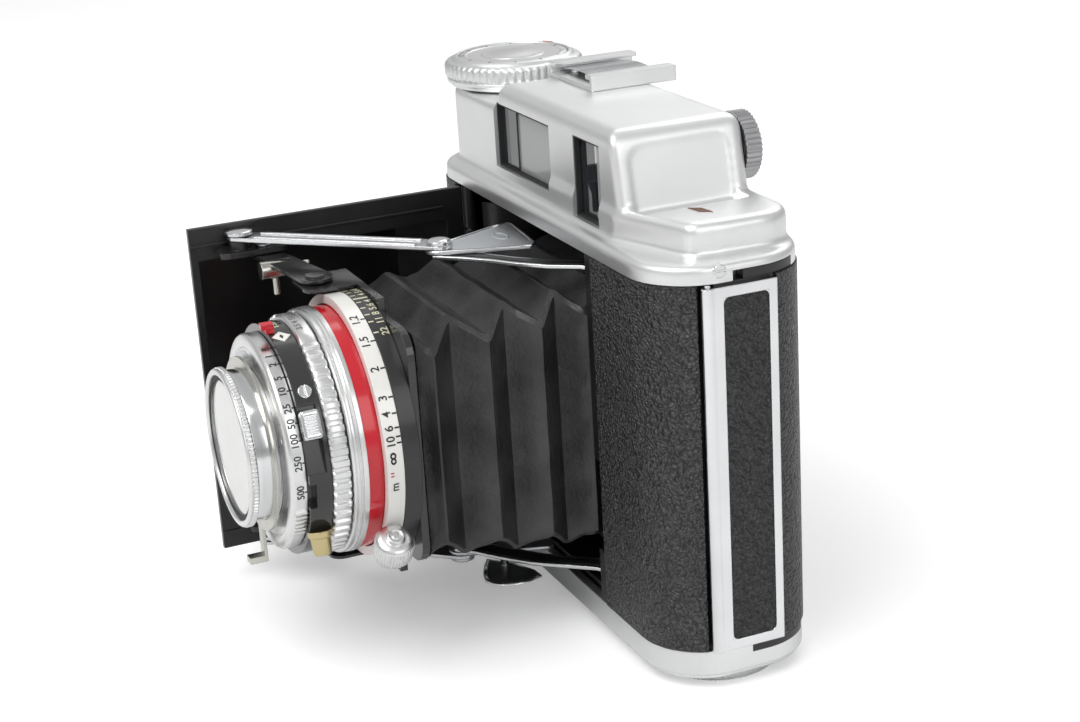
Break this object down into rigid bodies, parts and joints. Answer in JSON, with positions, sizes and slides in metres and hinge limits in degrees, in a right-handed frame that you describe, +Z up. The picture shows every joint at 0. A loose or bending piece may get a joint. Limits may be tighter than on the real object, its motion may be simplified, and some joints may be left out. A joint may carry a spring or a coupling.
{
  "type": "folding roll-film camera",
  "caption": "Medium-format folding camera with bellows, strut-braced bed, between-lens shutter, finder housing and hinged back, opened for use.",
  "frame": {"origin": "mouth of the tripod socket, at the underside of the base plate", "axes": "+Z up along the tripod socket axis, -Y towards the subject along the lens axis, +X towards the end with the back latch"},
  "size_m": [0.1096, 0.0941, 0.0993],
  "materials": {
    "chrome": "satin",
    "black_paint": "gloss black",
    "leather": "pebbled",
    "bellows_leather": "soft pleated",
    "steel": "brushed",
    "aluminium": "satin",
    "brass": "satin",
    "red_enamel": "gloss red",
    "white_enamel": "satin white",
    "black_plastic": "matt",
    "glass": "coated"
  },
  "bodies": {
    "camera_body": {"body_shell": "black_paint", "body_leather": "leather", "base_plate": "chrome", "tripod_bush": "steel", "body_screws": "steel", "top_housing": "chrome", "accessory_shoe": "chrome", "shoe_screws": "steel", "illumination_window": "glass", "viewfinder_window": "glass", "eyepiece_ring": "black_plastic", "eyepiece_lens": "glass", "finder_prism": "glass", "bed_hinge_pin": "steel", "back_hinge_pin": "steel", "strut_pivots": "steel", "bellows": "bellows_leather", "latch_pin": "steel"},
    "bed": {"bed_panel": "black_paint", "bed_leather": "leather", "bed_brackets": "black_paint", "bed_rivets": "steel"},
    "links": {"standard_links": "black_paint"},
    "bars": {"strut_bars": "steel", "strut_rivets": "steel"},
    "arms": {"strut_arms": "steel"},
    "tabs": {"strut_tabs": "steel"},
    "standard": {"lens_standard": "black_paint", "depth_scale_ring": "black_paint"},
    "focus": {"distance_ring": "white_enamel", "focus_knob": "chrome"},
    "lens_unit": {"red_barrel": "red_enamel", "shutter_case": "black_paint", "shutter_rim": "chrome", "front_barrel": "chrome", "front_lens": "glass", "rear_cell": "black_paint", "filter_ring": "chrome", "filter_glass": "glass", "flash_socket": "brass", "case_screws": "steel", "iris_blades": "steel"},
    "aperture": {"aperture_ring": "chrome"},
    "speed": {"speed_ring": "chrome"},
    "cocking": {"cocking_lever": "chrome"},
    "sync": {"sync_lever": "red_enamel"},
    "release": {"release_lever": "chrome"},
    "latch": {"latch_flap": "chrome", "latch_leather": "leather"},
    "back": {"back_shell": "black_paint", "back_leather": "leather", "pressure_plate": "black_paint", "plate_springs": "steel"},
    "wind": {"wind_knob": "chrome"},
    "reminder": {"reminder_disc": "aluminium"},
    "spool": {"take_up_spool": "black_paint"},
    "button": {"release_button": "chrome"},
    "spool_lock": {"spool_knob": "chrome"},
    "left_roller": {"film_roller_left": "steel"},
    "right_roller": {"film_roller_right": "steel"}
  },
  "joints": [
    {"name": "bed_fold", "type": "hinge", "parent": "camera_body", "child": "bed", "pos_m": [-0.0355, -0.0142, 0.0393], "axis": [0, 0, 1], "range_deg": [0, 90]},
    {"name": "lens_slide", "type": "slide", "parent": "camera_body", "child": "standard", "axis": [-0.0396, 0.9992, 0], "range_m": [0, 0.05305], "deforming": ["bellows"]},
    {"name": "link_swing", "type": "hinge", "parent": "bed", "child": "links", "pos_m": [-0.032, -0.0582, 0.0393], "axis": [0, 0, 1], "range_deg": [0, 58.1]},
    {"name": "bar_swing", "type": "hinge", "parent": "bed", "child": "bars", "pos_m": [-0.0327, -0.0625, 0.0393], "axis": [0, 0, 1], "range_deg": [0, 43.3]},
    {"name": "arm_swing", "type": "hinge", "parent": "camera_body", "child": "arms", "pos_m": [0.0235, -0.0075, 0.0393], "axis": [0, 0, 1], "range_deg": [-48.8, 0]},
    {"name": "tab_swing", "type": "hinge", "parent": "arms", "child": "tabs", "pos_m": [-0.0044, -0.0324, 0.0393], "axis": [0, 0, 1], "range_deg": [-42.1, 0]},
    {"name": "lens_extend", "type": "slide", "parent": "standard", "child": "lens_unit", "axis": [0, 1, 0], "range_m": [-0.00014, 0.00225]},
    {"name": "focus_turn", "type": "hinge", "parent": "standard", "child": "focus", "pos_m": [0, 0, 0.041], "axis": [0, 1, 0], "range_deg": [-82.5, 5.2]},
    {"name": "aperture_turn", "type": "hinge", "parent": "lens_unit", "child": "aperture", "pos_m": [0, 0, 0.041], "axis": [0, 1, 0], "range_deg": [-60, 10]},
    {"name": "speed_turn", "type": "hinge", "parent": "lens_unit", "child": "speed", "pos_m": [0, 0, 0.041], "axis": [0, 1, 0], "range_deg": [-70, 30]},
    {"name": "cocking_turn", "type": "hinge", "parent": "lens_unit", "child": "cocking", "pos_m": [0, 0, 0.041], "axis": [0, 1, 0], "range_deg": [0, 14]},
    {"name": "sync_turn", "type": "hinge", "parent": "lens_unit", "child": "sync", "pos_m": [0, 0, 0.041], "axis": [0, 1, 0], "range_deg": [-7, 7]},
    {"name": "release_turn", "type": "hinge", "parent": "lens_unit", "child": "release", "pos_m": [0, 0, 0.041], "axis": [0, 1, 0], "range_deg": [-12.1, 0.1]},
    {"name": "latch_swing", "type": "hinge", "parent": "camera_body", "child": "latch", "pos_m": [0.053, -0.0069, 0.0393], "axis": [0, 0, -1], "range_deg": [0, 70]},
    {"name": "back_swing", "type": "hinge", "parent": "camera_body", "child": "back", "pos_m": [-0.0539, 0.006, 0.0393], "axis": [0, 0, 1], "range_deg": [0, 110]},
    {"name": "wind_turn", "type": "hinge", "parent": "camera_body", "child": "wind", "pos_m": [-0.0406, -0.0006, 0.0952], "axis": [0, 0, 1], "continuous": true},
    {"name": "reminder_turn", "type": "hinge", "parent": "wind", "child": "reminder", "pos_m": [-0.0406, -0.0006, 0.0964], "axis": [0, 0, 1], "continuous": true},
    {"name": "spool_turn", "type": "hinge", "parent": "camera_body", "child": "spool", "pos_m": [-0.03945, -0.0006, 0.0393], "axis": [0, 0, 1], "continuous": true},
    {"name": "button_press", "type": "slide", "parent": "camera_body", "child": "button", "axis": [0, 0, -1], "range_m": [0, 0.0018]},
    {"name": "spool_pull", "type": "slide", "parent": "camera_body", "child": "spool_lock", "axis": [0, 0, -1], "range_m": [0, 0.006]},
    {"name": "left_roller_turn", "type": "hinge", "parent": "camera_body", "child": "left_roller", "pos_m": [-0.0309, 0.0096, 0.0393], "axis": [0, 0, 1], "continuous": true},
    {"name": "right_roller_turn", "type": "hinge", "parent": "camera_body", "child": "right_roller", "pos_m": [0.0309, 0.0096, 0.0393], "axis": [0, 0, 1], "continuous": true}
  ],
  "couplings": [
    {"joint": "lens_slide", "follows": "bed_fold", "m_per_rad": 0.033767},
    {"joint": "link_swing", "follows": "bed_fold", "ratio": 0.64444},
    {"joint": "bar_swing", "follows": "bed_fold", "ratio": 0.48044},
    {"joint": "arm_swing", "follows": "bed_fold", "ratio": -0.54111},
    {"joint": "tab_swing", "follows": "bed_fold", "ratio": -0.46667},
    {"joint": "focus_turn", "follows": "lens_extend", "rad_per_m": -637.76},
    {"joint": "wind_turn", "follows": "spool_turn", "ratio": 1},
    {"joint": "release_turn", "follows": "button_press", "rad_per_m": -116.36}
  ]
}
